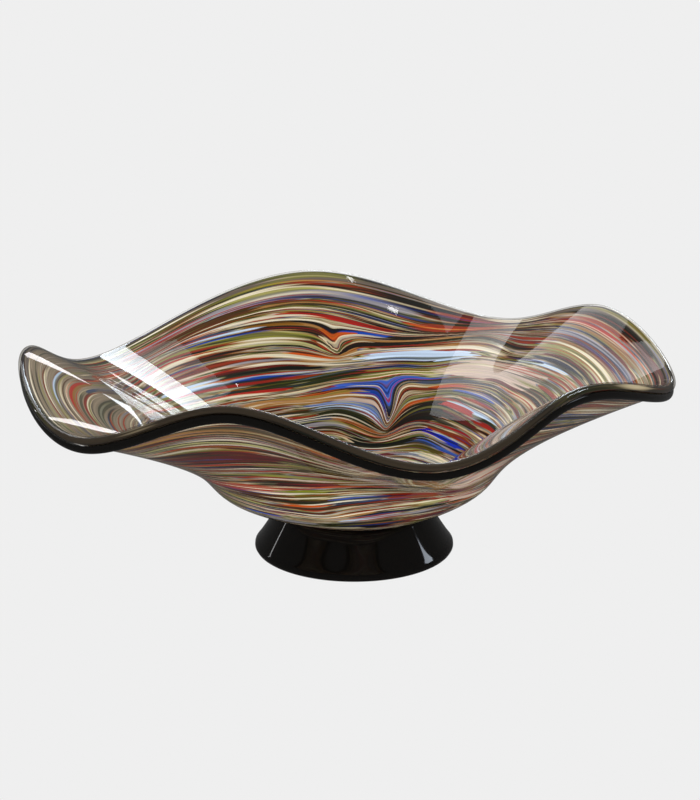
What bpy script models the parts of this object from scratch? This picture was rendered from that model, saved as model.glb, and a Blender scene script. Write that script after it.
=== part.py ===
"""Fluted art glass bowl on a black conical foot.

The wall is blown in three layers that lie against each other: a clear inner casing, a thin layer of marbled
colour and a clear outer casing. A black strand of glass is wound round the outside of the lip, and the bowl
stands on a hollow black foot. Units are metres, +Z is up, and the origin is the centre of the circle on which
the foot stands.
"""

import math

import bmesh
import bpy
import numpy as np

COLLECTION_NAME = "art_glass_bowl"

# Layers of the wall, and the space that hot-joined pieces keep between their solids
CASING_THICKNESS = 0.0016
COLOUR_THICKNESS = 0.0012
GAP = 0.0003
WALL_THICKNESS = 2 * CASING_THICKNESS + COLOUR_THICKNESS + 2 * GAP

# The lip, once round from +X: azimuth in degrees, reach from the axis, height above the table
LIP_POINTS = (
    (5, 0.2035, 0.1120),
    (31, 0.1955, 0.1310),
    (54, 0.1925, 0.1060),
    (98, 0.1990, 0.1300),
    (160, 0.2040, 0.1025),
    (173, 0.2065, 0.1245),
    (189, 0.2082, 0.1325),
    (220, 0.2062, 0.1170),
    (248, 0.1935, 0.1520),
    (284, 0.1975, 0.1220),
    (312, 0.1800, 0.1430),
    (344, 0.1915, 0.1230),
)

# The mean meridian of the wall, from the seat over the foot to the lip
SEAT_RADIUS = 0.0495
SEAT_HEIGHT = 0.0315
DISH_DEPTH = 0.0050
BODY_HANDLE = (0.1200, 0.0470)
FLARE_HANDLE = (0.0385, 0.0460)
FOLD_POWER = 4
FRONT_LIFT = 0.0075

# The grid of the wall: steps round it, rings on its floor, and rings up its side as shares of the way
AZIMUTH_STEPS = 60
FLOOR_RINGS = (0.017, 0.034)
COLOUR_END = 0.991
CLEAR_START = 0.995
SIDE_RINGS = (0.0, 0.13, 0.27, 0.42, 0.57, 0.71, 0.83, 0.93, COLOUR_END, CLEAR_START, 1.0)
LIP_ROUNDING = 0.0005

# The strand wound round the outside of the lip
STRAND_HEIGHT = 0.0082
STRAND_DEPTH = 0.0055
STRAND_FULLNESS = 0.35
STRAND_ARC_STEPS = 8

# The foot: a hollow cone, closed at the top, where the bowl sits in it
FOOT_TOP_RADIUS = 0.0493
FOOT_BASE_RADIUS = 0.0650
FOOT_INNER_RADIUS = 0.0540
FOOT_CEILING_RADIUS = 0.0440
FOOT_CEILING_HEIGHT = 0.0170
FOOT_SEAT_GAP = 0.0004
FOOT_EDGE = 0.0028
FOOT_STEPS = 48

# Colour, roughness and metallic value of each glass
GLASSES = {
    "clear_glass": ((0.80, 0.79, 0.76), 0.04, 0.0),
    "marbled_glass": ((0.36, 0.27, 0.20), 0.10, 0.0),
    "black_glass": ((0.008, 0.006, 0.006), 0.05, 0.0),
}


def closed_curve(knots, values, at):
    """A smooth closed curve through values at knots (radians): cubics that share slope and curvature."""
    count = len(knots)
    span = np.diff(np.append(knots, knots[0] + 2 * math.pi))
    rise = (np.roll(values, -1) - values) / span
    before, after = 1 / np.roll(span, 1), 1 / span
    rows = np.arange(count)
    joins = np.zeros((count, count))
    joins[rows, rows - 1] = before
    joins[rows, rows] = 2 * (before + after)
    joins[rows, (rows + 1) % count] = after
    slopes = np.linalg.solve(joins, 3 * (np.roll(rise, 1) * before + rise * after))
    turn = (at - knots[0]) % (2 * math.pi) + knots[0]
    low = np.searchsorted(knots, turn, side="right") - 1
    high = (low + 1) % count
    u = (turn - knots[low]) / span[low]
    return (
        (1 + 2 * u) * (1 - u) ** 2 * values[low]
        + u * (1 - u) ** 2 * span[low] * slopes[low]
        + u * u * (3 - 2 * u) * values[high]
        + u * u * (u - 1) * span[low] * slopes[high]
    )


def floor_height(radius):
    """Height of the middle of the wall over the foot: a shallow dish."""
    return SEAT_HEIGHT - DISH_DEPTH * (1 - (radius / SEAT_RADIUS) ** 2)


def side_points(azimuth, way):
    """Middle of the wall from the seat (way 0) to the lip (way 1), as an array of ring by azimuth by xyz.

    The mean meridian is a cubic Bezier curve. The lip's departure from its own mean reach grows evenly with the
    way up, and its departure from its mean height grows with the fourth power, so the folds stay near the lip.
    """
    knots, reach, height = np.array(LIP_POINTS).T
    knots = np.radians(knots)
    reach_here = closed_curve(knots, reach, azimuth)
    height_here = closed_curve(knots, height, azimuth)
    way = np.asarray(way)[:, None]
    weights = ((1 - way) ** 3, 3 * way * (1 - way) ** 2, 3 * way**2 * (1 - way), way**3)
    radii = (SEAT_RADIUS, BODY_HANDLE[0], FLARE_HANDLE[0], reach.mean())
    heights = (SEAT_HEIGHT, BODY_HANDLE[1], FLARE_HANDLE[1], height.mean())
    radius = sum(w * r for w, r in zip(weights, radii)) + (reach_here - reach.mean()) * way
    z = sum(w * h for w, h in zip(weights, heights)) + (height_here - height.mean()) * way**FOLD_POWER
    z = z - FRONT_LIFT * 4 * way * (1 - way) * np.sin(azimuth)
    return np.stack([radius * np.cos(azimuth), radius * np.sin(azimuth), z], axis=-1)


def outward_normals(rings):
    """Unit normals of a ring grid, pointing away from the inside of the bowl."""
    along = np.gradient(rings, axis=0)
    around = np.roll(rings, -1, axis=1) - np.roll(rings, 1, axis=1)
    normal = np.cross(around, along)
    return normal / np.linalg.norm(normal, axis=-1, keepdims=True)


def wall_rings(last_way):
    """Rings of the middle of the wall out to last_way, the floor's first."""
    azimuth = np.linspace(0, 2 * math.pi, AZIMUTH_STEPS, endpoint=False)
    circle = np.stack([np.cos(azimuth), np.sin(azimuth)], axis=-1)
    floor = [
        np.concatenate([radius * circle, np.full((AZIMUTH_STEPS, 1), floor_height(radius))], axis=1)
        for radius in FLOOR_RINGS
    ]
    side = side_points(azimuth, [way for way in SIDE_RINGS if way <= last_way])
    return np.concatenate([np.array(floor), side])


def glass(name):
    """A material for one of the glasses."""
    color, roughness, metallic = GLASSES[name]
    material = bpy.data.materials.new(name)
    material.use_nodes = True
    shader = material.node_tree.nodes["Principled BSDF"]
    shader.inputs["Base Color"].default_value = (*color, 1)
    shader.inputs["Roughness"].default_value = roughness
    shader.inputs["Metallic"].default_value = metallic
    return material


def add_object(name, mesh, collection, material):
    """A smooth-shaded object of its own material."""
    mesh.materials.append(material)
    mesh.shade_smooth()
    piece = bpy.data.objects.new(name, mesh)
    collection.objects.link(piece)
    return piece


def wall_sheet(name, depth, last_way):
    """The wall as one open sheet, moved outwards from the wall's middle by depth, with its floor closed.

    Faces point into the bowl. The sheet's vertex 0 is the centre of the floor.
    """
    rings = wall_rings(last_way)
    rings = rings + depth * outward_normals(rings)
    mesh = bpy.data.meshes.new(name)
    sheet = bmesh.new()
    centre = sheet.verts.new((0, 0, floor_height(0) - depth))
    grid = [[sheet.verts.new(point) for point in ring] for ring in rings]
    for step in range(AZIMUTH_STEPS):
        after = (step + 1) % AZIMUTH_STEPS
        sheet.faces.new((centre, grid[0][step], grid[0][after]))
        for low, high in zip(grid, grid[1:]):
            sheet.faces.new((low[step], high[step], high[after], low[after]))
    sheet.to_mesh(mesh)
    sheet.free()
    return mesh


def thicken(piece, thickness):
    """Give a sheet its thickness on the side its faces point to, so that the sheet stays the outer face."""
    shell = piece.modifiers.new("thickness", "SOLIDIFY")
    shell.thickness = thickness
    shell.offset = 1
    shell.use_even_offset = True
    return shell


def round_edges(piece, width, segments, angle):
    """Round every edge that is sharper than angle, in degrees."""
    bevel = piece.modifiers.new("rounded edges", "BEVEL")
    bevel.width = width
    bevel.segments = segments
    bevel.limit_method = "ANGLE"
    bevel.angle_limit = math.radians(angle)
    return bevel


def make_inner_casing(collection):
    """Clear glass on the inside of the bowl."""
    depth = CASING_THICKNESS - WALL_THICKNESS / 2
    casing = add_object(
        "inner_casing", wall_sheet("inner_casing", depth, 1), collection, glass("clear_glass")
    )
    thicken(casing, CASING_THICKNESS)
    round_edges(casing, LIP_ROUNDING, 2, 60)


def make_marbled_layer(collection):
    """The layer of swirled colour, which ends a little under the lip."""
    layer = add_object(
        "marbled_layer",
        wall_sheet("marbled_layer", COLOUR_THICKNESS / 2, COLOUR_END),
        collection,
        glass("marbled_glass"),
    )
    thicken(layer, COLOUR_THICKNESS)


def make_outer_casing(collection):
    """Clear glass on the outside. Past the end of the colour it is thick enough to meet the inner casing."""
    sheet = wall_sheet("outer_casing", WALL_THICKNESS / 2, 1)
    casing = add_object("outer_casing", sheet, collection, glass("clear_glass"))
    lip_thickness = WALL_THICKNESS - CASING_THICKNESS - GAP
    clear_rings = sum(way >= CLEAR_START for way in SIDE_RINGS)
    first_clear = len(sheet.vertices) - clear_rings * AZIMUTH_STEPS
    clear_lip = casing.vertex_groups.new(name="clear lip")
    clear_lip.add(list(range(first_clear, len(sheet.vertices))), 1.0, "REPLACE")
    shell = thicken(casing, lip_thickness)
    shell.vertex_group = clear_lip.name
    shell.thickness_vertex_group = CASING_THICKNESS / lip_thickness
    round_edges(casing, LIP_ROUNDING, 2, 60)


def make_lip_wrap(collection):
    """A black strand with a flat back, carried round the lip against the outside of the wall.

    Its section is half an ellipse that is filled out by a power below one half, so its face is flattened.
    """
    azimuth = np.linspace(0, 2 * math.pi, AZIMUTH_STEPS, endpoint=False)
    rings = side_points(azimuth, SIDE_RINGS)
    lip, under_lip = rings[-1], rings[-2]
    outward = outward_normals(rings)[-1]
    upward = lip - under_lip
    upward = upward / np.linalg.norm(upward, axis=-1, keepdims=True)
    arc = np.linspace(-1, 1, STRAND_ARC_STEPS + 1)
    drop = STRAND_HEIGHT / 2 * (arc - 1)
    stand = WALL_THICKNESS / 2 + GAP + STRAND_DEPTH * (1 - arc**2) ** STRAND_FULLNESS
    strand = bmesh.new()
    sections = [
        [strand.verts.new(lip[step] + d * upward[step] + s * outward[step]) for d, s in zip(drop, stand)]
        for step in range(AZIMUTH_STEPS)
    ]
    for step, section in enumerate(sections):
        after = sections[(step + 1) % AZIMUTH_STEPS]
        for corner in range(len(section)):
            ahead = (corner + 1) % len(section)
            strand.faces.new((section[corner], after[corner], after[ahead], section[ahead]))
    bmesh.ops.recalc_face_normals(strand, faces=strand.faces[:])
    mesh = bpy.data.meshes.new("lip_wrap")
    strand.to_mesh(mesh)
    strand.free()
    add_object("lip_wrap", mesh, collection, glass("black_glass"))


def make_foot(collection):
    """The black foot, a turned hollow cone. Its top follows the underside of the bowl's floor."""
    under_floor = WALL_THICKNESS / 2 + FOOT_SEAT_GAP
    seat = [(radius, floor_height(radius) - under_floor) for radius in (0.0, *FLOOR_RINGS, FOOT_TOP_RADIUS)]
    profile = seat + [
        (FOOT_BASE_RADIUS, 0.0),
        (FOOT_INNER_RADIUS, 0.0),
        (FOOT_CEILING_RADIUS, FOOT_CEILING_HEIGHT),
        (0.0, FOOT_CEILING_HEIGHT),
    ]
    mesh = bpy.data.meshes.new("foot")
    edges = [(index, index + 1) for index in range(len(profile) - 1)]
    mesh.from_pydata([(radius, 0, height) for radius, height in profile], edges, [])
    foot = add_object("foot", mesh, collection, glass("black_glass"))
    turning = foot.modifiers.new("turning", "SCREW")
    turning.axis = "Z"
    turning.steps = FOOT_STEPS
    turning.render_steps = FOOT_STEPS
    turning.use_merge_vertices = True
    turning.merge_threshold = 0.00001
    round_edges(foot, FOOT_EDGE, 3, 30)


def main():
    """Clear the scene, then make each piece in the bowl's own collection."""
    for leftover in list(bpy.data.objects):
        bpy.data.objects.remove(leftover, do_unlink=True)
    collection = bpy.data.collections.new(COLLECTION_NAME)
    bpy.context.scene.collection.children.link(collection)
    make_inner_casing(collection)
    make_marbled_layer(collection)
    make_outer_casing(collection)
    make_lip_wrap(collection)
    make_foot(collection)


main()
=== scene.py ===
"""A fluted art glass bowl: marbled colour cased in clear glass, with a black lip strand and a black foot.

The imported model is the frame. Its plain solids are replaced by finer surfaces on the same formula, in metres,
+Z up, with the origin at the centre of the foot's underside. The front of the bowl faces -Y.
"""
import math

import bpy
import numpy as np
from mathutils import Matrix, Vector


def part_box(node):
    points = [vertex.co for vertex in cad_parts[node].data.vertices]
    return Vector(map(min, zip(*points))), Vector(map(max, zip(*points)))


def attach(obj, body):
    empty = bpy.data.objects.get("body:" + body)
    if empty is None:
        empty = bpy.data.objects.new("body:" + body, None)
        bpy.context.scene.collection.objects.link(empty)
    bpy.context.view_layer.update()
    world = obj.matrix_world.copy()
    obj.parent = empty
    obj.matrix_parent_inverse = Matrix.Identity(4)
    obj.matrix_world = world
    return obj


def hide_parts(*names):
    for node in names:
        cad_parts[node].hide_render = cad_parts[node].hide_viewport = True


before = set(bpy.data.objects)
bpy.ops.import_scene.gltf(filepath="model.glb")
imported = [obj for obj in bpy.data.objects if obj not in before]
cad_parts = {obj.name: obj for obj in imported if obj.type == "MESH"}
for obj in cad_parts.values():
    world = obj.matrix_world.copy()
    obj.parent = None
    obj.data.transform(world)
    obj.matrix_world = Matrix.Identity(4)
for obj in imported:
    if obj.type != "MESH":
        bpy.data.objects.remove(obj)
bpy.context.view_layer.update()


# ---- sizes, in metres ----------------------------------------------------------------------------
LIP_POINTS = (
    (5, 0.2035, 0.1120),
    (31, 0.1955, 0.1310),
    (54, 0.1925, 0.1060),
    (98, 0.1990, 0.1300),
    (160, 0.2040, 0.1025),
    (173, 0.2065, 0.1245),
    (189, 0.2082, 0.1325),
    (220, 0.2062, 0.1170),
    (248, 0.1935, 0.1520),
    (284, 0.1975, 0.1220),
    (312, 0.1800, 0.1430),
    (344, 0.1915, 0.1230),
)
"""The lip, once round from +X: azimuth in degrees, reach from the axis and height."""
SEAT_RADIUS = 0.0495
"""Radius of the ring where the bowl's side meets its floor."""
SEAT_HEIGHT = 0.0315
"""Height of that ring, at the middle of the wall."""
DISH_DEPTH = 0.0050
"""How far the floor's centre lies below that ring."""
BODY_HANDLE = (0.1200, 0.0470)
"""Radius and height of the mean meridian's first handle, which rounds the body."""
FLARE_HANDLE = (0.0385, 0.0460)
"""Radius and height of its second handle, which draws the wall in below the flare."""
FOLD_POWER = 4
"""Power of the way up by which the lip's waves grow."""
FRONT_LIFT = 0.0075
"""How far the wall is raised at the front, and lowered at the back, halfway up the side."""

CASING_DEPTH = 0.0025
"""Half the thickness of the clear casing."""
CASING_ROUNDING = 0.0018
"""Height of its rounded lip."""
COLOR_DEPTH = 0.0021
"""Half the thickness of the colour sheet inside it."""
COLOR_MARGIN = 0.0011
"""How far below the lip the colour sheet ends."""
STRAND_HEIGHT = 0.0058
"""Height of the strand's flat back, along the wall."""
STRAND_DEPTH = 0.0042
"""How far its round face stands out from its back."""
STRAND_BACK = 0.0028
"""How far its back lies outside the middle of the wall."""
STRAND_DROP = 0.0026
"""How far below the lip it starts."""
STRAND_FULLNESS = 0.8
"""Power of the sine that rounds its face: below 1 is fuller than an ellipse."""

FOOT_RIM = ((-0.0022, 0.0000), (-0.0009, 0.0005), (-0.0002, 0.0017), (-0.0003, 0.0032))
"""The foot's softened rim, from its underside up: reach past the foot's base radius, and height."""
FOOT_FLARE_STEPS = 13
FOOT_FLARE_POWER = 0.92
"""Power of the way up by which the foot narrows: below 1 is slightly hollow."""
FOOT_TOP_RADIUS = 0.0493
FOOT_SHOULDER = 0.0020
"""How far below its top the foot's flare ends."""
FOOT_CROWN = ((-0.0012, -0.0006), (-0.0040, -0.0003))
"""The turn over the foot's top edge: reach past the top radius, and height past the top."""
FOOT_SEAT_STEPS = 12
FOOT_SEAT_MARGIN = 0.0053
"""How far inside the top radius the foot's seat for the bowl starts."""
FOOT_SEAT_GAP = 0.0004
"""Gap between the seat and the bowl's underside."""
FOOT_INSIDE = ((0.0545, 0.0000), (0.0540, 0.0005), (0.0440, 0.0170))
"""The foot's inner wall, from its underside up: radius and height."""
AXIS_RADIUS = 0.001
"""Radius of a turned piece's first and last rings, which a fan closes."""

CASING_STEPS = (480, 90, 12)
"""Steps of the casing's grid: round the bowl, up each side and over the edge."""
COLOR_STEPS = (640, 76, 5)
"""The same of the colour sheet."""
STRAND_STEPS = (480, 40)
"""Steps of the strand's grid: round the bowl and round its section."""
FOOT_STEPS = 192
"""Steps of the foot's grid round its axis."""
WALL_RINGS = 400
"""Rings on the wall's middle that points are placed between."""
WALL_SHARE = 0.9999
"""Share of the wall's length that these rings cover, because its very centre has no normal."""
SHELL_SHARE = 0.997
"""Share of the wall's length that a shell's rings cover, before a fan closes its face."""


# ---- the bowl's wall -----------------------------------------------------------------------------
def full_turn(steps):
    """Angles evenly spaced once round, in radians."""
    return np.linspace(0, 2 * math.pi, steps, endpoint=False)


def closed_curve(knots, values, at):
    """A smooth closed curve through values at knots (radians): cubics that share slope and curvature."""
    count = len(knots)
    span = np.diff(np.append(knots, knots[0] + 2 * math.pi))
    rise = (np.roll(values, -1) - values) / span
    before, after = 1 / np.roll(span, 1), 1 / span
    rows = np.arange(count)
    joins = np.zeros((count, count))
    joins[rows, rows - 1] = before
    joins[rows, rows] = 2 * (before + after)
    joins[rows, (rows + 1) % count] = after
    slopes = np.linalg.solve(joins, 3 * (np.roll(rise, 1) * before + rise * after))
    turn = (at - knots[0]) % (2 * math.pi) + knots[0]
    low = np.searchsorted(knots, turn, side="right") - 1
    high = (low + 1) % count
    u = (turn - knots[low]) / span[low]
    return (
        (1 + 2 * u) * (1 - u) ** 2 * values[low]
        + u * (1 - u) ** 2 * span[low] * slopes[low]
        + u * u * (3 - 2 * u) * values[high]
        + u * u * (u - 1) * span[low] * slopes[high]
    )


def wall_middle(azimuth, way):
    """Middle of the wall, ring by azimuth by xyz. Way -1 is the floor's centre, 0 the seat and 1 the lip.

    On the floor, height is a parabola of the radius. On the side, the mean meridian is a cubic Bezier curve.
    The lip's own reach adds to it evenly with the way up, and its own height with a power of the way. A hump
    of height, fullest halfway up, is added at the front and taken off at the back.
    """
    knots, reach, height = np.array(LIP_POINTS).T
    knots = np.radians(knots)
    reach_here = closed_curve(knots, reach, azimuth) - reach.mean()
    height_here = closed_curve(knots, height, azimuth) - height.mean()
    way = np.asarray(way, float)[:, None]
    up = np.clip(way, 0, 1)
    weights = ((1 - up) ** 3, 3 * up * (1 - up) ** 2, 3 * up**2 * (1 - up), up**3)
    radii = (SEAT_RADIUS, BODY_HANDLE[0], FLARE_HANDLE[0], reach.mean())
    heights = (SEAT_HEIGHT, BODY_HANDLE[1], FLARE_HANDLE[1], height.mean())
    radius = sum(w * r for w, r in zip(weights, radii)) + reach_here * up
    z = sum(w * h for w, h in zip(weights, heights)) + height_here * up**FOLD_POWER
    z = z - FRONT_LIFT * 4 * up * (1 - up) * np.sin(azimuth)
    on_floor = np.clip(way + 1, 0, 1)
    radius = radius * np.where(way < 0, on_floor, 1)
    z = z - DISH_DEPTH * (1 - on_floor**2)
    return np.stack([radius * np.cos(azimuth), radius * np.sin(azimuth), z], axis=-1)


def outward_normals(rings):
    """Unit normals of a ring grid, pointing away from the inside of the bowl."""
    along = np.gradient(rings, axis=0)
    around = np.roll(rings, -1, axis=1) - np.roll(rings, 1, axis=1)
    normal = np.cross(around, along)
    return normal / np.linalg.norm(normal, axis=-1, keepdims=True)


FINE_WAYS = np.concatenate([np.linspace(-1, 0, 60, endpoint=False), np.linspace(0, 1, 600)])
"""Steps of way along which distances on the mean meridian are measured."""
MERIDIANS = 72
"""Meridians whose lengths make the mean."""


def mean_meridian_drop():
    """Distance down the mean wall from the lip, in metres, at each of FINE_WAYS."""
    line = wall_middle(full_turn(MERIDIANS), FINE_WAYS)
    steps = np.linalg.norm(np.diff(line, axis=0), axis=-1).mean(axis=1)
    return np.concatenate([np.cumsum(steps[::-1])[::-1], [0.0]])


FINE_DROPS = mean_meridian_drop()
WALL_LENGTH = FINE_DROPS[0]


def way_at(drop):
    """Way of a ring that lies drop metres below the lip along the wall."""
    return np.interp(-np.asarray(drop), -FINE_DROPS, FINE_WAYS)


# ---- the marbling --------------------------------------------------------------------------------
STREAMS = (
    (10, ((15, 12), (35, 13), (53, 8), (62, 7), (75, 11), (90, 15.5), (105, 14.5), (125, 11), (142, 11),
          (165, 12), (190, 10), (215, 11), (250, 12), (283, 12), (320, 11))),
    (18, ((12, 19), (30, 21), (45, 15), (56, 12), (63, 19), (70, 27), (78, 32), (88, 32), (100, 29),
          (115, 24), (130, 20), (145, 20), (157, 20), (170, 24), (180, 20), (195, 15), (207, 17), (232, 14),
          (252, 24), (283, 20), (320, 18))),
    (27, ((12, 27), (30, 29), (45, 22), (57, 17), (66, 28.5), (73, 36.5), (82, 40), (92, 38), (105, 33),
          (118, 27.5), (130, 24), (145, 25), (157, 26), (168, 34), (177, 36), (186, 29), (197, 23),
          (210, 27), (232, 20), (254, 45), (270, 38), (284, 30), (320, 30))),
    (35, ((14, 35), (30, 36), (45, 29), (58, 20), (65, 28), (72, 38.2), (80, 47), (86, 49), (92, 48),
          (102, 43), (115, 36), (126, 29.5), (136, 26), (148, 29), (157, 33), (168, 43), (178, 48),
          (187, 37), (197, 31), (210, 36), (232, 27), (245, 42), (256, 57), (270, 50), (284, 40),
          (320, 42))),
    (43, ((14, 43), (30, 44), (45, 38), (59, 23.5), (64, 29), (68, 35.5), (72, 42), (76, 48), (82, 54.5),
          (88, 60.5), (92, 66), (94, 71), (96, 68), (98, 63), (104, 56), (112, 50), (122, 42.5), (132, 34),
          (139, 31), (150, 36), (158, 42), (168, 53), (178, 58), (188, 45), (198, 38), (212, 42), (232, 34),
          (246, 55), (258, 66), (270, 62), (283, 52), (320, 60))),
    (50, ((14, 50), (30, 51), (45, 46), (59, 28), (65, 35), (72, 47), (79, 57), (85, 65), (90, 71),
          (94, 75), (98, 74), (102, 69), (108, 63), (117, 56), (128, 47), (137, 40), (146, 41), (158, 50),
          (168, 60), (178, 65), (188, 54), (198, 45), (213, 50), (232, 45), (246, 67), (258, 76), (270, 68),
          (283, 57), (320, 80))),
    (57, ((16, 57), (30, 60), (45, 54), (58, 46), (66, 52), (75, 62), (82, 70), (88, 76), (95, 79),
          (103, 78), (110, 73), (120, 66), (135, 57), (148, 55), (157, 60), (168, 68), (179, 72), (190, 62),
          (200, 53), (214, 58), (230, 66), (245, 82), (256, 84), (268, 76), (283, 61), (296, 90),
          (320, 100))),
    (68, ((18, 68), (30, 70), (45, 62), (57, 56), (62, 61), (67, 69), (75, 77), (84, 82.5), (90, 86),
          (97, 90), (105, 92.5), (115, 92), (125, 88), (135, 82), (148, 76), (158, 76), (170, 80),
          (182, 80), (198, 69), (214, 72), (230, 82), (248, 92), (258, 88), (269, 79), (283, 64),
          (296, 104), (320, 118))),
    (78, ((20, 80), (30, 80), (42, 73), (50, 69), (57, 68), (63, 73.5), (70, 81.5), (78, 88), (88, 94),
          (98, 98), (108, 101), (120, 99), (132, 93), (148, 88), (170, 88), (190, 84), (212, 84), (232, 92),
          (246, 99), (256, 97.5), (268, 88), (277, 74), (283, 67), (290, 90), (300, 114), (320, 125))),
    (85, ((22, 89), (31, 87), (40, 81), (49, 76), (56, 75), (62, 79), (67, 87), (71, 97), (74, 110),
          (75.6, 118), (77, 112), (79, 103), (83, 99), (92, 101), (102, 105), (115, 104), (130, 99),
          (148, 95), (170, 97), (200, 95), (222, 100), (240, 107), (252, 109), (262, 103), (273, 87),
          (282, 75), (289, 92), (298, 114), (308, 123), (325, 129))),
    (93, ((24, 98), (33, 93), (42, 87), (50, 83), (56, 82), (62, 86.5), (67, 94.5), (70, 101.5), (73, 112),
          (75.7, 123), (77.6, 119), (80, 110), (85, 106), (93, 107), (105, 109), (118, 106), (135, 103),
          (160, 103), (200, 104), (222, 110), (238, 117), (250, 117), (260, 112), (272, 98), (282, 92),
          (289, 103), (298, 118), (308, 125.5), (325, 130.5))),
    (104, ((24, 108), (31, 105), (40, 101), (49, 95), (56, 92.5), (61, 95.5), (66, 102), (70, 109.5),
           (73, 118.5), (75.8, 126), (78.5, 123.5), (82, 118), (88, 114), (96, 113), (106, 114), (118, 113),
           (140, 111), (170, 112), (210, 113), (232, 124), (245, 126), (255, 123), (265, 117), (275, 107),
           (283, 105), (290, 112), (299, 122), (308, 128.5), (325, 132.5))),
    (114, ((25, 117), (34, 115), (44, 110), (52, 105), (57, 103), (63, 106), (67, 112), (71, 120),
           (75, 127.5), (79, 127), (84, 123), (90, 119), (98, 117), (106, 119), (118, 119), (140, 118),
           (170, 120), (210, 120), (232, 130), (245, 132), (256, 130), (266, 124), (275, 118), (284, 114),
           (292, 120), (300, 126), (309, 131), (325, 134))),
    (124, ((28, 127), (36, 123.5), (46, 120.5), (56, 118), (62, 118), (68, 122), (74, 129), (80, 131),
           (87, 128), (95, 124), (104, 123), (118, 124), (140, 126), (170, 128), (210, 128), (232, 136),
           (246, 138), (258, 137.5), (268, 132), (276, 127.5), (284, 125), (293, 127.5), (302, 131),
           (312, 134), (325, 136))),
    (136, ((30, 135), (40, 133), (50, 129.5), (60, 127), (66, 131), (72, 135.5), (80, 139), (88, 138),
           (96, 133), (105, 131), (118, 132), (140, 135), (170, 137), (210, 138), (232, 142), (246, 143),
           (260, 143), (270, 140), (284, 136.5), (300, 138.5), (325, 141))),
    (150, ((32, 146), (45, 143), (60, 141), (70, 144.5), (80, 149), (90, 149), (105, 147), (140, 149),
           (210, 150), (240, 152), (265, 149), (285, 146), (300, 147), (325, 151))),
    (180, ((30, 180), (120, 180), (210, 180), (300, 180))),
)
"""Lines that the canes run along: height in the sheet, and (turn in degrees, mm below the lip) along each."""
LEAST_GAP = 0.8
"""Least distance between neighbouring lines, in mm."""

GLASS = {
    "shell": (206, 190, 180),
    "cream": (218, 206, 180),
    "ivory": (236, 230, 214),
    "ice": (206, 220, 238),
    "silver": (165, 162, 168),
    "smoke": (120, 110, 102),
    "greige": (152, 140, 124),
    "mauve": (132, 108, 106),
    "tan": (176, 142, 108),
    "ochre": (148, 108, 52),
    "sage": (148, 144, 98),
    "celadon": (182, 178, 138),
    "leaf": (142, 146, 70),
    "olive": (104, 94, 38),
    "moss": (54, 58, 26),
    "pine": (26, 32, 20),
    "umber": (44, 32, 20),
    "soot": (66, 58, 48),
    "brown": (98, 66, 42),
    "wine": (112, 34, 28),
    "crimson": (150, 14, 10),
    "red": (178, 34, 18),
    "rust": (160, 62, 24),
    "orange": (196, 94, 36),
    "salmon": (204, 116, 86),
    "rose": (178, 96, 90),
    "sky": (150, 168, 216),
    "periwinkle": (116, 134, 200),
    "blue": (84, 104, 174),
    "cobalt": (62, 82, 212),
    "violet": (46, 26, 190),
    "slate": (84, 92, 112),
    "navy": (30, 34, 66),
}
"""Colours of the glass, as display values out of 255."""

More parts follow.
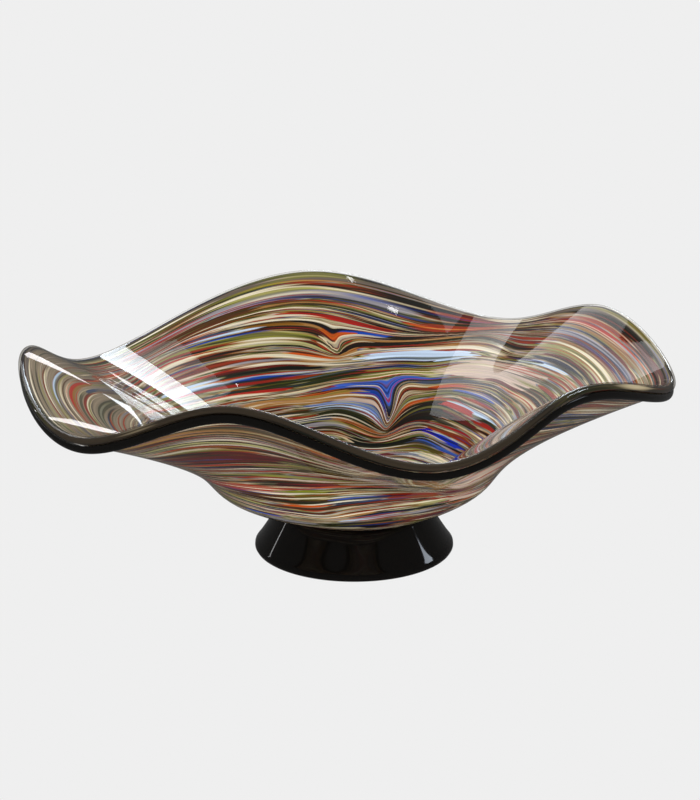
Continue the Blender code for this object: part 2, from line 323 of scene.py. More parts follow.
CANES = (
    # right wing
    ("umber", 7, 5.5, 12, 39), ("mauve", 9, 7, -15, 14), ("rust", 12, 3.4, 8, 38),
    ("orange", 13.6, 0.9, 11, 38), ("red", 15.8, 3.0, 8, 40), ("silver", 16.8, 2.2, 6, 23),
    ("cream", 18.6, 1.4, 16, 38), ("rust", 20, 0.9, 15, 36), ("cream", 21, 1.1, 12, 38),
    ("wine", 24.6, 3.2, 9, 24), ("navy", 24, 2.6, 18, 41), ("blue", 23.6, 1.0, 24, 38),
    ("silver", 28, 4.6, 8, 40), ("navy", 31.1, 1.3, 11, 38), ("wine", 33.2, 3.2, 11, 37),
    ("orange", 35.4, 0.9, 13, 27), ("ochre", 36.5, 3.2, 22, 37), ("sage", 42.5, 10, 11, 38),
    ("celadon", 39, 1.2, 14, 34), ("celadon", 44, 1.4, 14, 34), ("wine", 49.3, 2.6, 17, 34),
    ("navy", 53, 3.2, 17, 35), ("ice", 57, 4.4, 20, 39), ("navy", 56.6, 2.6, 31, 37),
    ("rust", 62, 1.2, 24, 42), ("rust", 65, 3.0, 6, 21), ("sage", 69, 3.0, 6, 21), ("rust", 73, 3.0, 6, 22),
    ("umber", 76, 3.0, 6, 24), ("salmon", 64.5, 1.3, 26, 44), ("cream", 67, 1.2, 24, 60),
    ("salmon", 73.5, 1.2, 30, 58), ("salmon", 77, 1.0, 30, 60),
    # back, from the lip down
    ("mauve", 5, 8, 40, 62), ("wine", 9, 4.0, 52, 68), ("umber", 8.2, 2.2, 60, 92),
    ("silver", 1.5, 2.6, 66, 142), ("umber", 4.4, 2.6, 84, 128), ("moss", 6.2, 5.0, 106, 142),
    ("tan", 6.4, 2.0, 70, 122), ("rust", 8.3, 1.8, 83, 107), ("umber", 9.5, 1.4, 76, 128),
    ("rust", 11.6, 2.6, 56, 74), ("celadon", 11.2, 2.0, 84, 147), ("silver", 13.6, 4.4, 70, 150),
    ("slate", 15.3, 1.4, 78, 115), ("ice", 16.3, 0.9, 92, 128), ("rose", 15.6, 1.2, 124, 150),
    ("brown", 17.4, 1.2, 62, 132), ("brown", 24, 15, 108, 149), ("sage", 21, 3.2, 74, 104),
    ("rose", 18.7, 2.0, 85, 108), ("tan", 20.6, 4.4, 93, 115), ("rust", 21, 8.6, 52, 77),
    ("orange", 20.2, 3.0, 64, 76), ("moss", 24.8, 3.2, 73, 115), ("cream", 27, 1.5, 74, 104),
    ("rust", 28.6, 1.1, 79, 124), ("cream", 30.4, 1.2, 86, 100), ("red", 32.6, 3.4, 77, 110),
    ("tan", 28, 1.2, 112, 146), ("orange", 31, 0.9, 79, 92), ("rust", 25.5, 1.2, 118, 147),
    ("cream", 34.9, 1.5, 64, 108), ("umber", 36.5, 2.0, 91, 124), ("tan", 38.4, 2.2, 94, 116),
    ("ochre", 38, 2.6, 102, 117), ("umber", 39.2, 6.4, 59, 83), ("blue", 40.0, 4.6, 79, 93.5),
    ("navy", 37.4, 1.3, 82, 95), ("orange", 39.7, 3.8, 90, 98.5), ("red", 40.5, 0.9, 95, 116),
    ("slate", 37, 2.2, 116, 136), ("ice", 39.2, 2.2, 112, 133), ("blue", 42, 2.2, 114, 134),
    ("umber", 36, 3.0, 128, 142), ("tan", 45.3, 3.0, 58, 93), ("sage", 44.4, 4.2, 98, 143),
    ("celadon", 42.6, 1.2, 98, 130), ("umber", 49.2, 5.6, 68, 91.5), ("cream", 47, 1.2, 86, 93.8),
    ("red", 45.6, 1.6, 88.5, 92), ("celadon", 49, 3.2, 98, 137), ("moss", 46.6, 1.4, 98, 126),
    ("cream", 44, 6, 95.2, 98.3), ("rust", 47, 5, 98, 100.4), ("brown", 52.6, 1.4, 78, 94),
    ("tan", 52.4, 6, 91, 99), ("rust", 51.2, 1.3, 128, 145), ("moss", 50.7, 1.0, 102, 121),
    ("moss", 53.4, 1.3, 102, 143), ("orange", 54.8, 3.6, 94, 111), ("celadon", 56, 2.6, 106, 120),
    ("rust", 56.6, 2.2, 115, 140), ("silver", 58.2, 1.6, 106, 133), ("tan", 57.6, 1.4, 88, 112),
    ("brown", 59.3, 1.2, 92, 108), ("wine", 60.4, 2.8, 102, 138), ("pine", 62.4, 2.2, 86, 138),
    ("ice", 64.2, 1.1, 90, 142), ("blue", 65, 2.2, 110, 134), ("wine", 66.2, 1.0, 115, 136),
    ("cream", 67.2, 1.3, 102, 144), ("ice", 64, 5, 131, 156), ("sage", 72.4, 9, 56, 94),
    ("moss", 70.2, 7.4, 84, 138), ("pine", 66.8, 2.0, 62, 102), ("red", 73.6, 4.4, 111, 141),
    ("leaf", 75.2, 2.4, 62, 78), ("moss", 73, 1.8, 84, 114), ("tan", 75.2, 1.6, 92, 122),
    ("celadon", 76.4, 2.2, 72, 112), ("wine", 77.2, 1.0, 90, 112), ("cream", 78.3, 1.8, 92, 128),
    # painted reflection: these two wide ice canes lay a light-blue patch of mirrored light into the colour, low
    # on the back wall
    ("ice", 60, 9, 57, 68), ("ice", 57.8, 9.0, 62, 89.5),
    # the valley right of the fold
    ("tan", 91, 14, 84, 140), ("periwinkle", 81.6, 6.4, 61, 103), ("wine", 84, 2.2, 80, 108),
    ("orange", 84.4, 2.6, 97, 112), ("blue", 88, 7, 75.5, 89), ("shell", 95.6, 5.4, 78, 98),
    ("sky", 100.6, 6.4, 76, 110), ("ice", 106.8, 7.4, 76.3, 109), ("brown", 107, 4.6, 102, 128),
    ("cream", 111, 1.3, 100, 118), ("moss", 115, 8.6, 75, 108), ("rust", 113.4, 2.4, 107, 122),
    ("slate", 121, 5.4, 92, 126), ("navy", 124.4, 1.4, 95, 118), ("tan", 121.6, 4.0, 76, 99),
    ("orange", 120.6, 1.4, 79, 96), ("silver", 127.4, 4.4, 92, 120), ("tan", 125.6, 2.8, 75, 97),
    ("moss", 129.6, 1.8, 76, 108), ("rust", 135.2, 3.4, 84, 116), ("cream", 137.6, 2.8, 82, 100),
    # the heart, left of the fold
    ("shell", 72, 22, 22, 64), ("wine", 81.6, 3.4, 26, 46), ("moss", 86.4, 1.7, 34, 62),
    ("cream", 88.1, 1.3, 32, 58), ("umber", 89.6, 2.8, 28, 38), ("slate", 85.6, 3.4, 48, 72),
    ("orange", 91.6, 3.2, 42, 67), ("tan", 93.4, 1.6, 40, 68), ("periwinkle", 97, 3.8, 33, 60),
    ("moss", 99.2, 1.8, 28, 75.5), ("sage", 100.8, 2.4, 44, 75.5), ("rust", 101.4, 2.8, 27, 50),
    ("cream", 103, 1.1, 28, 62), ("moss", 104.4, 1.6, 28, 62), ("ice", 107.4, 3.6, 25, 55),
    ("red", 109.6, 4.6, 36, 64), ("wine", 115, 6, 34, 64), ("orange", 104, 3.0, 61, 75.8),
    ("umber", 114.5, 18, 54, 78), ("pine", 110, 1.3, 26, 38), ("red", 112.6, 4.6, 12, 34),
    ("moss", 117.6, 1.6, 28, 60), ("cream", 120.2, 1.8, 30, 57), ("sage", 118.6, 1.6, 30, 52),
    ("red", 123, 2.2, 27, 50), ("cream", 125.1, 1.2, 30, 57), ("rust", 127.6, 4.4, 28, 60),
    ("ice", 130.6, 1.4, 30, 59), ("cobalt", 133.6, 6.4, 31, 61), ("violet", 132.6, 9, 56.5, 63),
    ("pine", 139, 15, 60, 95), ("ice", 138.4, 1.7, 34, 64), ("periwinkle", 141.2, 4.0, 31, 63),
    ("olive", 145.6, 5.0, 42, 78), ("sage", 149.2, 2.4, 46, 74), ("cream", 152.6, 5.0, 32, 62),
    ("slate", 154.4, 3.2, 53, 68), ("ice", 152.4, 1.6, 56, 72), ("wine", 153.4, 5.4, 64, 78),
    ("salmon", 149.4, 2.4, 65, 79),
    # left wing
    ("greige", 36, 76, 149, 218), ("smoke", 24, 4.4, 148, 167), ("salmon", 33, 6.6, 150, 175),
    ("salmon", 33.6, 2.4, 168, 183), ("cream", 29.4, 1.6, 149, 183), ("rose", 17, 1.6, 150, 159),
    ("rose", 36.6, 4.4, 180, 204), ("wine", 33, 2.0, 179, 187), ("slate", 43, 4.6, 177, 191),
    ("ice", 24.2, 2.2, 184, 202), ("shell", 14, 0.9, 166, 214), ("shell", 19.6, 0.9, 170, 212),
    ("shell", 28, 0.9, 182, 213), ("brown", 17.4, 1.4, 182, 214), ("brown", 30.2, 1.4, 186, 208),
    ("smoke", 44.6, 8.6, 154, 185), ("cream", 41.6, 0.8, 158, 214), ("rose", 54.6, 2.2, 152, 170),
    ("ice", 57.6, 1.7, 152, 175), ("sage", 63.6, 5.2, 148, 186), ("cream", 68.2, 1.3, 150, 184),
    ("salmon", 72, 5.2, 153, 182), ("wine", 2.6, 3.6, 189, 216), ("shell", 48.6, 1.0, 190, 214),
    # front, left of the dip
    ("tan", 26, 11, 216, 272), ("ochre", 33, 2.8, 240, 271), ("rust", 36, 1.3, 222, 250),
    ("shell", 38.4, 1.7, 232, 266), ("umber", 40.3, 1.2, 224, 254), ("celadon", 44.6, 3.2, 222, 266),
    ("ochre", 49, 1.8, 224, 254), ("silver", 40, 6, 261, 284), ("wine", 57, 9.4, 220, 255),
    ("orange", 52, 1.4, 232, 250), ("umber", 53, 2.0, 218, 236), ("olive", 58, 5.2, 247, 258),
    ("sage", 62, 6, 252, 262), ("tan", 66.6, 2.2, 220, 262), ("mauve", 72, 5.6, 222, 250),
    ("silver", 74, 3.2, 235, 248), ("brown", 70, 9, 256, 285), ("brown", 73, 4.2, 246, 276),
    ("shell", 76.3, 1.9, 242, 272), ("sage", 81.6, 3.4, 222, 266), ("moss", 80, 1.0, 226, 256),
    ("shell", 84.6, 1.8, 236, 284), ("crimson", 89.6, 5.8, 238, 270), ("brown", 88.6, 2.4, 260, 283),
    ("orange", 93.2, 3.2, 252, 284), ("rose", 100, 17, 208, 244), ("brown", 106, 9, 222, 246),
    ("leaf", 99, 5.4, 244, 265), ("celadon", 98.4, 2.0, 256, 274), ("olive", 106, 10.6, 244, 281),
    ("ochre", 103, 3.0, 258, 280), ("ice", 108.6, 2.2, 262, 281), ("slate", 115.6, 7.4, 256, 282),
    ("periwinkle", 112, 3.0, 262, 280), ("orange", 117, 3.2, 237, 260), ("rose", 121, 2.8, 232, 260),
    ("wine", 128, 5.4, 230, 248), ("brown", 125, 3.2, 242, 266), ("tan", 131.4, 4.4, 240, 284),
    ("pine", 127.6, 2.2, 252, 282), ("ice", 138.4, 2.6, 260, 286), ("pine", 146, 9, 250, 290),
    ("periwinkle", 138, 3.4, 218, 240), ("silver", 146, 8, 224, 254), ("celadon", 122, 7, 212, 234),
    # front, right of the dip
    ("tan", 80, 30, 283, 315), ("greige", 92, 9, 279, 303), ("shell", 86, 24, 310, 352),
    ("rust", 112, 15, 279, 313), ("red", 111, 4.8, 284, 298), ("mauve", 108, 18, 307, 330),
    ("wine", 107, 8, 309, 322), ("umber", 122.4, 3.8, 270, 303), ("celadon", 128.6, 4.2, 282, 319),
    ("pine", 134, 3.6, 270, 322), ("silver", 138.2, 3.2, 270, 333), ("pine", 142.4, 2.2, 260, 288),
    ("shell", 128, 12, 316, 350), ("wine", 148, 8, 285, 324), ("umber", 150, 10, 262, 292),
    # the lip
    ("smoke", 4.6, 3.6, -75, 405), ("soot", 1.6, 3.4, -75, 405), ("umber", 1.4, 3.2, 30, 168),
)
# Streaks in the order they are laid: glass, height in the sheet, width, and the turn at both ends. The two wide
# ice streaks that end the back group are a painted reflection, not glass.
"""Streaks in the order they are laid: glass, height in the sheet, width, and the turn at both ends."""
CANE_EDGE = 0.6
"""Width over which a cane fades into its neighbour."""
CANE_TAPER = 4
"""Power of the way to a cane's end by which it narrows."""
SEAM_TURN = -15
"""Turn, in degrees, at which the canes' count of turns starts."""

GROUND = (
    "umber", "brown", "wine", "tan", "greige", "shell",
    "sage", "moss", "celadon", "silver", "slate", "rust",
)
"""Glasses of the mixed ground under the canes, in the order they blend."""
GROUND_SHARES = (0.65, 0.35)
"""Shares of the broad and the fine noise in the ground."""
GROUND_SPREAD = (3.4, -1.2)
"""Factor and offset that spread this noise over the ground's glasses."""

THREADS = {
    "wander": (0.20, 3.0, 3.1),
    "fray": (0.34, 1.6, 11.7),
    "ground": (0.60, 2.8, 23.3),
    "fine_ground": (0.30, 1.2, 31.9),
    "shade": (0.40, 0.8, 47.3),
}
"""Noise drawn out along the canes: length in radii of the bowl, width in the sheet, and seed."""
WANDER = 1.6
"""How far a cane's height in the sheet wanders."""
FRAY = 16
"""How far its ends wander, in degrees of turn."""
SHADE_SPREAD = (1.1, 0.62)
"""Factor and offset that make a brightness of noise."""
DEEPENING = 1.2
"""Power by which all the colours are deepened."""
RICHNESS = 1.22
"""Factor on their saturation."""

HAIRLINES = (
    (0.60, 1.8, 61.7, ((0.26, "pine", 0.85), (0.31, "umber", 0.7), (0.36, "umber", 0.0), (0.64, "cream", 0.0),
                       (0.69, "cream", 0.75), (0.75, "ivory", 0.9))),
    (0.80, 2.8, 83.9, ((0.24, "moss", 0.75), (0.30, "moss", 0.6), (0.34, "sage", 0.0), (0.68, "leaf", 0.0),
                       (0.73, "leaf", 0.5), (0.78, "sage", 0.6))),
    (0.90, 1.4, 19.3, ((0.22, "red", 0.7), (0.28, "rust", 0.6), (0.32, "rust", 0.0), (0.69, "blue", 0.0),
                       (0.74, "blue", 0.6), (0.79, "navy", 0.7))),
)
"""Fine lines drawn through every cane: length, width and seed of their noise, and its stops.

A stop is a place in the noise, a glass, and how much of the cane under it that glass covers.
"""

CURLS = ((90.5, 59.0, 13.0, 4.5), (73.5, 88.0, 16.0, 6.5))
"""Where the soft canes were pulled into a hook: turn, mm below the lip, reach in mm and pull in degrees."""
CURL_STRETCH = 2.2
"""Millimetres that a degree of turn counts for in a curl's bell."""


def cane_run(azimuth, drop):
    """Cosine and sine of the turn and height in the sheet of drawn glass, ring by azimuth by three.

    The turn is first pulled back at each curl by a bell of its reach. Between two neighbouring lines the
    height changes evenly with the drop. Above the first line it starts from 0 at the lip. Past the last it
    goes on at one a millimetre.
    """
    millimetres = 1000 * np.asarray(drop)[:, None]
    turn = np.degrees(azimuth)
    pull = np.zeros((len(drop), len(azimuth)))
    for center, depth, reach, most in CURLS:
        away = ((turn - center) * CURL_STRETCH) ** 2 + (millimetres - depth) ** 2
        pull = pull + most * np.exp(-away / reach**2)
    source = np.radians(turn - pull)
    lines = [np.zeros_like(source)]
    for _, points in STREAMS:
        turns, drops = np.array(points, float).T
        line = closed_curve(np.radians(turns), drops, source)
        lines.append(np.maximum(line, lines[-1] + LEAST_GAP))
    heights = [0, *(height for height, _ in STREAMS)]
    total = np.maximum(millimetres - lines[-1], 0)
    for low, high, top, bottom in zip(heights[:-1], heights[1:], lines[:-1], lines[1:]):
        total = total + (high - low) * np.clip((millimetres - top) / (bottom - top), 0, 1)
    east = np.broadcast_to(np.cos(azimuth), total.shape)
    north = np.broadcast_to(np.sin(azimuth), total.shape)
    return np.stack([east, north, total], axis=-1)


# ---- meshes --------------------------------------------------------------------------------------
def with_poles(rings):
    """Points of the rings in one list, followed by the middle of the first ring and of the last."""
    return np.concatenate([rings.reshape(-1, 3), rings[[0, -1]].mean(axis=1)])


def closed_rings(name, rings):
    """A mesh of rings, ring by step by xyz, closed at each end by a fan to the middle of the last ring.

    Faces point outwards where around cross along points outwards.
    """
    count, steps = rings.shape[:2]
    index = np.arange(count * steps).reshape(count, steps)
    ahead = np.roll(index, -1, axis=1)
    quads = np.stack([index[:-1], ahead[:-1], ahead[1:], index[1:]], axis=-1).reshape(-1, 4)
    first = np.stack([np.full(steps, count * steps), ahead[0], index[0]], axis=-1)
    last = np.stack([np.full(steps, count * steps + 1), index[-1], ahead[-1]], axis=-1)
    mesh = bpy.data.meshes.new(name)
    mesh.from_pydata(with_poles(rings).tolist(), [], quads.tolist() + first.tolist() + last.tolist())
    return mesh


def closed_tube(name, rings):
    """A mesh of rings, ring by step by xyz, that closes round each ring and from the last ring to the first.

    Faces point outwards where along cross around points outwards.
    """
    count, steps = rings.shape[:2]
    index = np.arange(count * steps).reshape(count, steps)
    below, ahead = np.roll(index, -1, axis=0), np.roll(index, -1, axis=1)
    quads = np.stack([index, below, np.roll(below, -1, axis=1), ahead], axis=-1).reshape(-1, 4)
    mesh = bpy.data.meshes.new(name)
    mesh.from_pydata(rings.reshape(-1, 3).tolist(), [], quads.tolist())
    return mesh


def shown_piece(mesh, material, slot, *nodes):
    """Shows a mesh as the piece of the bowl that stands for the plain solids named by nodes."""
    mesh.shade_smooth()
    mesh.materials.append(material)
    piece = bpy.data.objects.new(mesh.name, mesh)
    bpy.context.scene.collection.objects.link(piece)
    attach(piece, "root")
    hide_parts(*nodes)


def section_on_wall(azimuth, drops, depths):
    """Points carried round the wall, each drop metres below the lip and depth metres out from the middle."""
    ways = way_at(np.linspace(0, WALL_LENGTH * WALL_SHARE, WALL_RINGS))[::-1]
    middle = wall_middle(azimuth, ways)
    normal = outward_normals(middle)
    place = np.interp(way_at(drops), ways, np.arange(len(ways)))
    low = np.clip(place.astype(int), 0, len(ways) - 2)
    share = (place - low)[:, None, None]
    points = middle[low] * (1 - share) + middle[low + 1] * share
    normals = normal[low] * (1 - share) + normal[low + 1] * share
    return points + normals * np.asarray(depths)[:, None, None]


def shell_section(edge_drop, depth, round_over, side_steps, edge_steps):
    """Drops and depths of a shell's section: up its outer face, round its upper edge and down its inner face.

    The edge is half an ellipse, depth wide either side of the middle and round_over high.
    """
    side = np.linspace(WALL_LENGTH * SHELL_SHARE, edge_drop + round_over, side_steps)
    turn = np.linspace(math.pi / 2, -math.pi / 2, edge_steps)[1:-1]
    drops = np.concatenate([side, edge_drop + round_over * (1 - np.cos(turn)), side[::-1]])
    depths = np.concatenate([np.full(side_steps, depth), depth * np.sin(turn), np.full(side_steps, -depth)])
    return drops, depths


# ---- materials -----------------------------------------------------------------------------------
class Term:
    """A socket of a material's nodes, so that shader maths reads as expressions."""

    def __init__(self, tree, socket=None):
        self.tree = tree
        self.socket = socket

    def node(self, kind, settings=None, output=0, **inputs):
        """A new node of this kind, with its settings set first and then its inputs, by index or by name."""
        made = self.tree.nodes.new(kind)
        for name, value in (settings or {}).items():
            setattr(made, name, value)
        for name, value in inputs.items():
            key = int(name[1:]) if name[1:].isdigit() else name.replace("_", " ")
            if isinstance(value, Term):
                self.tree.links.new(value.socket, made.inputs[key])
            else:
                made.inputs[key].default_value = value
        return Term(self.tree, made.outputs[output])

    def output(self, name):
        """Another output of the node that this socket is on."""
        return Term(self.tree, self.socket.node.outputs[name])

    def math(self, operation, *values):
        """The Math node of this operation on the values."""
        inputs = {f"i{place}": value for place, value in enumerate(values)}
        return self.node("ShaderNodeMath", {"operation": operation}, **inputs)

    def __add__(self, other):
        return self.math("ADD", self, other)

    __radd__ = __add__

    def __sub__(self, other):
        return self.math("SUBTRACT", self, other)

    def __rsub__(self, other):
        return self.math("SUBTRACT", other, self)

    def __mul__(self, other):
        return self.math("MULTIPLY", self, other)

    __rmul__ = __mul__

    def __pow__(self, other):
        return self.math("POWER", self, other)

    def __abs__(self):
        return self.math("ABSOLUTE", self)

    def scaled(self, factor, offset):
        """This value times factor plus offset."""
        return self.math("MULTIPLY_ADD", self, factor, offset)

    def blended(self, other, share):
        """This colour where share is 0 and the other where it is 1."""
        return self.node("ShaderNodeMix", {"data_type": "RGBA"}, output=2, i0=share, i6=self, i7=other)

    def ramp(self, stops):
        """Colour of this value on a ramp of stops, each a place from 0 to 1 and a colour with alpha."""
        made = self.node("ShaderNodeValToRGB", i0=self)
        elements = made.socket.node.color_ramp.elements
        for count, (place, color) in enumerate(stops):
            stop = elements[count] if count < 2 else elements.new(1.0)
            stop.position = place
            stop.color = color
        return made

    def mixed_shader(self, other, share):
        """This shader where share is 0 and the other where it is 1."""
        return self.node("ShaderNodeMixShader", i0=share, i1=self, i2=other)

    def finish(self, kind="ShaderNodeOutputMaterial"):
        """Links this shader to a new output node."""
        self.tree.links.new(self.socket, self.tree.nodes.new(kind).inputs["Surface"])


def linear(name, alpha=1.0):
    """Scene colour of a glass, with alpha."""
    values = np.array(GLASS[name]) / 255
    light = np.where(values > 0.04045, ((values + 0.055) / 1.055) ** 2.4, values / 12.92)
    return (*light.tolist(), alpha)


def new_material(name):
    """A material with an empty node tree, and a term to start its expressions from."""
    material = bpy.data.materials.new(name)
    material.use_nodes = True
    material.node_tree.nodes.clear()
    return material, Term(material.node_tree)


def cane_nodes():
    """A group that lays one cane over the colour under it.

    The share of the cane is its half width, which falls with a power of the way to its ends, less the
    distance from its centre line, both counted in widths of its soft edge.
    """
    tree = bpy.data.node_groups.new("cane", "ShaderNodeTree")
    kinds = {"Under": "Color", "Glass": "Color", "Height": "Float", "Turn": "Float", "Centre": "Float",
             "Half width": "Float", "Pace": "Float", "Start": "Float"}
    for name, kind in kinds.items():
        tree.interface.new_socket(name, in_out="INPUT", socket_type="NodeSocket" + kind)
    tree.interface.new_socket("Color", in_out="OUTPUT", socket_type="NodeSocketColor")
    inputs = tree.nodes.new("NodeGroupInput").outputs
    given = {name: Term(tree, inputs[name]) for name in kinds}
    reach = (given["Turn"] * given["Pace"] + given["Start"]) ** CANE_TAPER
    limit = given["Half width"] * (1 - reach)
    share = limit - abs(given["Height"] - given["Centre"]) * (1 / CANE_EDGE)
    color = given["Under"].blended(given["Glass"], share)
    tree.links.new(color.socket, tree.nodes.new("NodeGroupOutput").inputs[0])
    return tree


def marbled_glass():
    """Opaque streaks of coloured glass, laid in order on a mixed ground and drawn out into fine threads.

    The piece's attribute holds cosine and sine of the turn, and the height in the sheet. The turn in degrees
    is the angle of this cosine and sine, counted on from the seam. It and the height wander a little, so that
    no cane's edge is even.
    """
    material, start = new_material("marbled_glass")
    run = start.node("ShaderNodeAttribute", {"attribute_name": "cane_run"}, output="Vector")
    parts = start.node("ShaderNodeSeparateXYZ", Vector=run)
    east, north, height = (parts.output(axis) for axis in "XYZ")
    back = math.radians(SEAM_TURN + 180)
    across = north * math.cos(back) - east * math.sin(back)
    ahead = east * math.cos(back) + north * math.sin(back)
    turn = start.math("ARCTAN2", across, ahead).scaled(math.degrees(1), SEAM_TURN + 180)

    def threads(length, width, seed):
        """Noise drawn out along the canes: length in radii of the bowl, width in the sheet."""
        place = start.node("ShaderNodeCombineXYZ", X=east.scaled(1 / length, seed), Y=north * (1 / length),
                           Z=height * (1 / width))
        return start.node("ShaderNodeTexNoise", Vector=place, Scale=1.0, Detail=0.0)

    here = height + (threads(*THREADS["wander"]) - 0.5) * WANDER
    along = turn + (threads(*THREADS["fray"]) - 0.5) * FRAY
    broad, fine = GROUND_SHARES
    ground = threads(*THREADS["ground"]) * broad + threads(*THREADS["fine_ground"]) * fine
    stops = [(place / (len(GROUND) - 1), linear(glass)) for place, glass in enumerate(GROUND)]
    color = ground.scaled(*GROUND_SPREAD).ramp(stops)
    cane = cane_nodes()
    for name, center, width, low, high in CANES:
        color = start.node("ShaderNodeGroup", {"node_tree": cane}, Under=color, Height=here, Turn=along,
                           Glass=linear(name), Centre=center, Half_width=width / 2 / CANE_EDGE,
                           Pace=2 / (high - low), Start=-(low + high) / (high - low))
    for length, width, seed, stops in HAIRLINES:
        stops = [(place, linear(glass, cover)) for place, glass, cover in stops]
        lines = threads(length, width, seed).ramp(stops)
        color = color.blended(lines, lines.output("Alpha"))
    deep = start.node("ShaderNodeGamma", Color=color, Gamma=DEEPENING)
    shade = threads(*THREADS["shade"]).scaled(*SHADE_SPREAD)
    rich = start.node("ShaderNodeHueSaturation", Saturation=RICHNESS, Value=shade, Color=deep)
    start.node("ShaderNodeBsdfPrincipled", Base_Color=rich, Roughness=0.5, Specular_IOR_Level=0.1).finish()
    return material


def clear_glass():
    """Clear glass that shows what lies under it unbent, with a sharp reflection that grows towards its edges.

    Only its outer faces reflect. It darkens with the third power of the slant at which it is seen.
    """
    material, start = new_material("clear_glass")
    inside = start.node("ShaderNodeNewGeometry", output="Backfacing")
    mirror = start.node("ShaderNodeFresnel", IOR=1.62) * (1 - inside)
    face = start.node("ShaderNodeBsdfTransparent", Color=(0.97, 0.965, 0.95, 1))
    edge = start.node("ShaderNodeBsdfTransparent", Color=(0.46, 0.44, 0.40, 1))
    slant = start.node("ShaderNodeLayerWeight", output="Facing", Blend=0.5)
    gloss = start.node("ShaderNodeBsdfGlossy", Color=(1, 1, 1, 1), Roughness=0.03)
    face.mixed_shader(edge, slant**3).mixed_shader(gloss, mirror).finish()
    return material


def black_glass():
    """Solid black glass with a wet gloss."""
    material, start = new_material("black_glass")
    black = (0.004, 0.0035, 0.003, 1)
    start.node("ShaderNodeBsdfPrincipled", Base_Color=black, Roughness=0.05, IOR=1.36).finish()
    return material


# ---- pieces --------------------------------------------------------------------------------------
def make_casing(material):
    """Clear casing: one shell over both faces of the colour."""
    around, up, over = CASING_STEPS
    rings = section_on_wall(full_turn(around), *shell_section(0, CASING_DEPTH, CASING_ROUNDING, up, over))
    shown_piece(closed_rings("clear_casing", rings), material, "clear_glass", "inner_casing", "outer_casing")


def make_color_layer(material):
    """The marbled layer inside the casing, with the run of its canes kept at each point."""
    around, up, over = COLOR_STEPS
    azimuth = full_turn(around)
    drops, depths = shell_section(COLOR_MARGIN, COLOR_DEPTH, COLOR_DEPTH, up, over)
    mesh = closed_rings("marbled_sheet", section_on_wall(azimuth, drops, depths))
    run = with_poles(cane_run(azimuth, drops))
    attribute = mesh.attributes.new("cane_run", "FLOAT_VECTOR", "POINT")
    attribute.data.foreach_set("vector", run.ravel().astype(np.float32))
    shown_piece(mesh, material, "marbled_glass", "marbled_layer")


def make_strand(material):
    """Black strand on the outside of the lip: a section with a round face and a flat back, carried round.

    Along the wall the section follows a cosine. Its face stands out by a power of the sine.
    """
    around, steps = STRAND_STEPS
    turn = full_turn(steps)
    drops = STRAND_DROP + STRAND_HEIGHT / 2 * (1 - np.cos(turn))
    depths = STRAND_BACK + STRAND_DEPTH * np.sin(turn).clip(0) ** STRAND_FULLNESS
    rings = section_on_wall(full_turn(around), drops, depths)
    shown_piece(closed_tube("black_strand", rings), material, "black_glass", "lip_wrap")


def make_foot(material):
    """Black foot: a profile turned about the axis, hollow below, with a soft rim and a seat for the bowl.

    The flare's height rises evenly while its radius narrows by a power of the way up. The seat is the
    parabola of the bowl's floor, lowered to its underside.
    """
    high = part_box("foot")[1]
    base, top = high[0], high[2]
    rim = [(base + reach, height) for reach, height in FOOT_RIM]
    start_reach, start_height = rim[-1]
    way = np.linspace(0, 1, FOOT_FLARE_STEPS + 1)[1:]
    flare = zip(start_reach + (FOOT_TOP_RADIUS - base) * way**FOOT_FLARE_POWER,
                start_height + (top - FOOT_SHOULDER - start_height) * way)
    crown = [(FOOT_TOP_RADIUS + reach, top + height) for reach, height in FOOT_CROWN]
    reach = np.linspace(FOOT_TOP_RADIUS - FOOT_SEAT_MARGIN, AXIS_RADIUS, FOOT_SEAT_STEPS)
    underside = SEAT_HEIGHT - DISH_DEPTH * (1 - (reach / SEAT_RADIUS) ** 2) - CASING_DEPTH
    seat = zip(reach, underside - FOOT_SEAT_GAP)
    ceiling = (AXIS_RADIUS, FOOT_INSIDE[-1][1])
    profile = np.array([ceiling, *FOOT_INSIDE[::-1], *rim, *flare, *crown, *seat])
    azimuth = full_turn(FOOT_STEPS)
    radius, z = profile[:, :1], profile[:, 1:]
    rings = np.stack(np.broadcast_arrays(radius * np.cos(azimuth), radius * np.sin(azimuth), z), axis=-1)
    shown_piece(closed_rings("black_foot", rings), material, "black_glass", "foot")


# ---- studio --------------------------------------------------------------------------------------
BACKDROP = 0.863
"""Radiance of the floor and the air as the camera sees them."""
MIRRORED_ROOM = 0.10
"""Radiance of both as a gloss reflects them, which is dim, so that the panels of light stand out."""
FLOOR_LIGHT = 1.1
"""Radiance of the floor as it lights the bowl."""
AIR_LIGHT = 1.0
"""Radiance of the air as it lights the bowl."""
FLOOR_RADIUS = 6.0
FLOOR_STEPS = 96
FLOOR_HEIGHT = -0.0004
"""Just under the foot."""


def make_floor():
    """A pale round sweep that glows evenly, so that the bowl stands in open light with hardly a shadow."""
    material, start = new_material("pale_sweep")
    path = start.node("ShaderNodeLightPath")
    shown, dim, lit = (start.node("ShaderNodeEmission", Color=(1, 1, 1, 1), Strength=strength)
                       for strength in (BACKDROP, MIRRORED_ROOM, FLOOR_LIGHT))
    unseen = lit.mixed_shader(dim, path.output("Is Glossy Ray"))
    unseen.mixed_shader(shown, path.output("Is Camera Ray")).finish()
    azimuth = full_turn(FLOOR_STEPS)
    rim = np.stack([FLOOR_RADIUS * np.cos(azimuth), FLOOR_RADIUS * np.sin(azimuth),
                    np.full(FLOOR_STEPS, FLOOR_HEIGHT)], axis=-1)
    mesh = bpy.data.meshes.new("pale_floor")
    mesh.from_pydata(rim.tolist(), [], [list(range(FLOOR_STEPS))])
    mesh.materials.append(material)
    floor = bpy.data.objects.new("pale_floor", mesh)
    bpy.context.scene.collection.objects.link(floor)


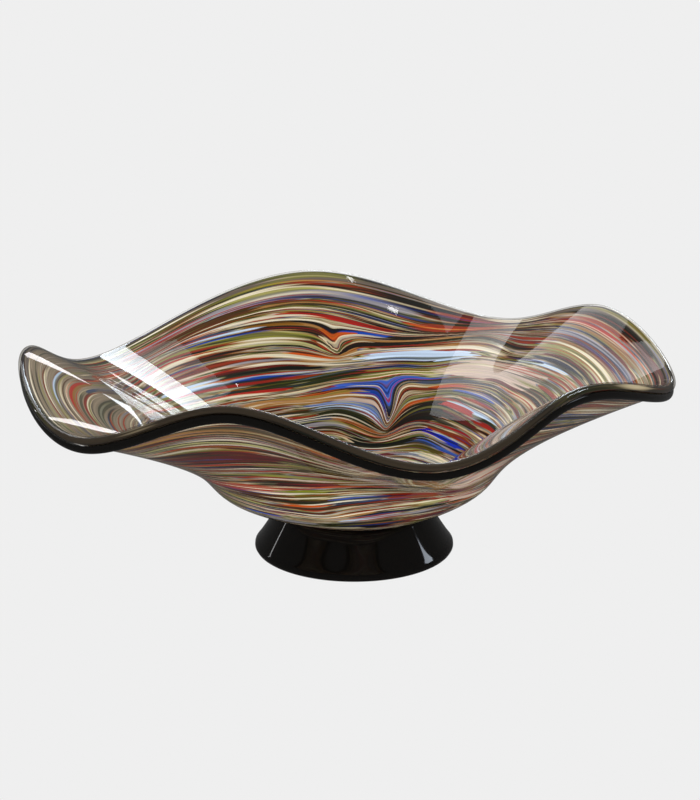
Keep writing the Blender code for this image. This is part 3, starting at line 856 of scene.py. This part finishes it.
def make_world():
    """Even daylight: the camera sees the sweep's own value, a gloss a dim room, and all else a soft white."""
    world = bpy.data.worlds.new("daylight")
    world.use_nodes = True
    world.node_tree.nodes.clear()
    start = Term(world.node_tree)
    path = start.node("ShaderNodeLightPath")
    camera, glossy = path.output("Is Camera Ray"), path.output("Is Glossy Ray")
    strength = camera * (BACKDROP - AIR_LIGHT) + glossy * (MIRRORED_ROOM - AIR_LIGHT) + AIR_LIGHT
    start.node("ShaderNodeBackground", Color=(1, 1, 1, 1), Strength=strength).finish("ShaderNodeOutputWorld")
    bpy.context.scene.world = world


def direction(turn, rise):
    """Unit vector at a turn about +Z from +X and a rise above the floor, in degrees."""
    turn, rise = math.radians(turn), math.radians(rise)
    return Vector((math.cos(rise) * math.cos(turn), math.cos(rise) * math.sin(turn), math.sin(rise)))


BOWL_MIDDLE = Vector((0, 0, 0.10))
LIGHT_DISTANCE = 8.0
LIGHTS = (
    ("window", 78, 38, 21, 20, 7.0, (0.84, 0.93, 1.0)),
    ("window_top", 74, 57, 15, 17, 0.9, (0.84, 0.93, 1.0)),
    ("low_window", 79, 5, 5, 7, 3.4, (0.90, 0.95, 1.0)),
    ("curtain", 84.5, 11, 3, 7, 3.0, (1.0, 0.97, 1.0)),
    ("slot", 56, 69, 1.0, 0.7, 9.0, (1.0, 1.0, 1.0)),
    ("blind", 124, 43, 34, 34, 1.5, (0.97, 0.98, 1.0)),
    ("foot_right", 12, 25, 10, 8, 9.0, (0.80, 0.88, 1.0)),
    ("foot_left", 153, 16, 1.0, 9, 7.0, (1.0, 1.0, 1.0)),
)
"""Panels of light: name, turn and rise of the middle, angular width and height, radiance and colour."""


def make_lights():
    """Rectangular panels facing the bowl, each given by the angles it fills as the bowl sees it.

    A side is twice the distance times the tangent of half its angle. Power is radiance times pi times area.
    """
    for name, turn, rise, width, height, radiance, color in LIGHTS:
        light = bpy.data.lights.new(name, "AREA")
        light.shape = "RECTANGLE"
        light.size = 2 * LIGHT_DISTANCE * math.tan(math.radians(width / 2))
        light.size_y = 2 * LIGHT_DISTANCE * math.tan(math.radians(height / 2))
        light.energy = radiance * math.pi * light.size * light.size_y
        light.color = color
        holder = bpy.data.objects.new(name, light)
        holder.location = BOWL_MIDDLE + direction(turn, rise) * LIGHT_DISTANCE
        holder.rotation_mode = "QUATERNION"
        holder.rotation_quaternion = (BOWL_MIDDLE - holder.location).to_track_quat("-Z", "Y")
        bpy.context.scene.collection.objects.link(holder)


CAMERA_TURN = -90
CAMERA_RISE = 19.14
CAMERA_TARGET = Vector((0, 0, 0.07))
"""Point that the camera's distance and rise are measured from."""
CAMERA_DISTANCE = 1.4396
CAMERA_AIM = Vector((-0.0027, 0.0088, 0.0953))
CAMERA_LENS = 102.0
"""Focal length in millimetres."""
CAMERA_REACH = 40


def make_camera():
    """A long lens a little above the table, in front of the bowl."""
    data = bpy.data.cameras.new("camera")
    data.lens = CAMERA_LENS
    data.clip_end = CAMERA_REACH
    camera = bpy.data.objects.new("camera", data)
    camera.location = CAMERA_TARGET + direction(CAMERA_TURN, CAMERA_RISE) * CAMERA_DISTANCE
    camera.rotation_euler = (CAMERA_AIM - camera.location).to_track_quat("-Z", "Y").to_euler()
    bpy.context.scene.collection.objects.link(camera)
    bpy.context.scene.camera = camera


black = black_glass()
make_casing(clear_glass())
make_color_layer(marbled_glass())
make_strand(black)
make_foot(black)
make_floor()
make_world()
make_lights()
make_camera()
bpy.context.scene.view_settings.view_transform = "Standard"
